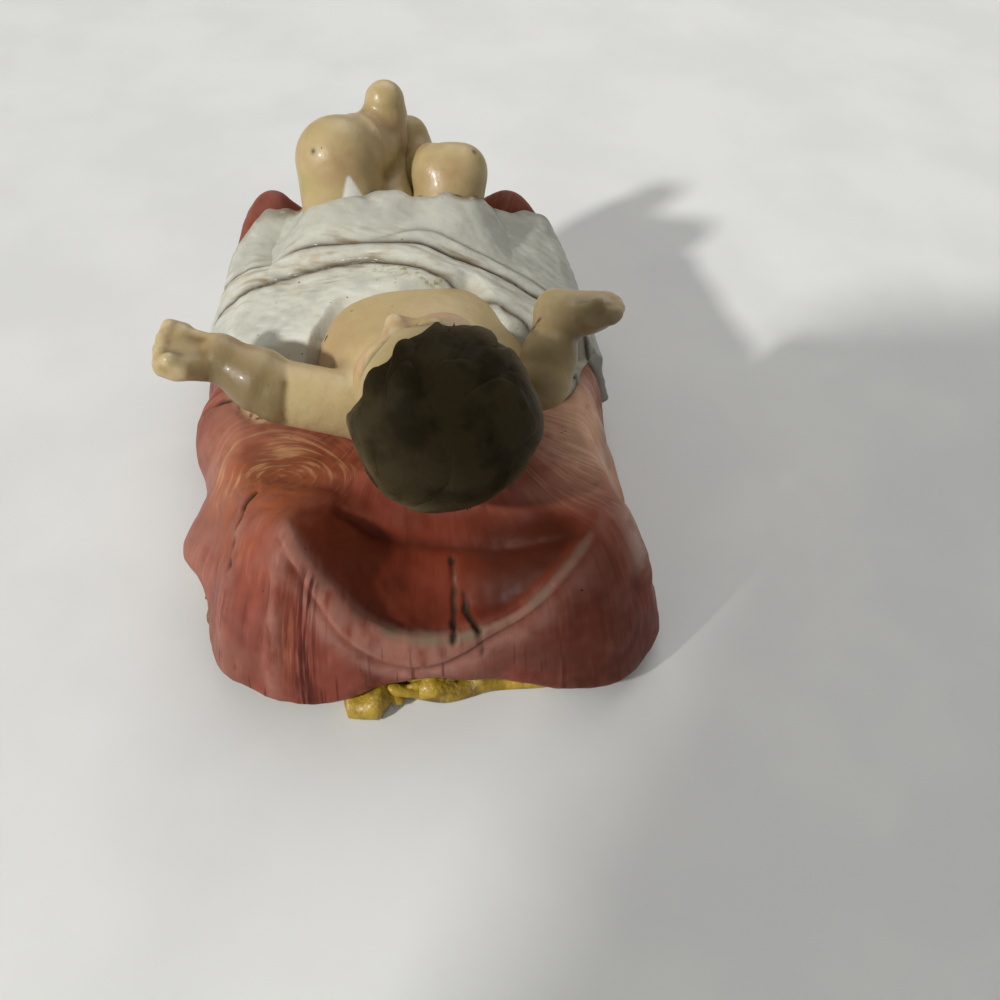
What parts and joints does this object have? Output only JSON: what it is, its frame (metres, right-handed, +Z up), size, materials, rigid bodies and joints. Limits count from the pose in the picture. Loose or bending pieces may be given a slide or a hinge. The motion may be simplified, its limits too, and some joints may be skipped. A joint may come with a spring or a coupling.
{
  "type": "nativity infant figurine",
  "caption": "Painted ceramic nativity infant lying on a draped straw bed, arms open and ankles crossed, a white cloth over the hips; an ornament that stands on its flat underside.",
  "frame": {"origin": "under the middle of the straw bed, on the table plane", "axes": "+Y from the head to the feet, +X towards the figure's right hand, +Z up"},
  "size_m": [0.0676, 0.0935, 0.0509],
  "materials": {
    "straw": "yellow paint on fired clay, satin",
    "red_blanket": "brushed brick-red paint with an orange and pink streak, satin",
    "white_cloth": "off-white paint with a brown antique wash in the folds, satin",
    "skin": "flesh paint, clear gloss",
    "hair": "dark brown paint, satin"
  },
  "bodies": {
    "root": {"straw_bed": "straw", "blanket": "red_blanket", "hip_cloth": "white_cloth", "torso": "skin", "head": "skin", "hair": "hair", "left_arm": "skin", "right_arm": "skin", "left_leg": "skin", "right_leg": "skin"}
  },
  "joints": []
}
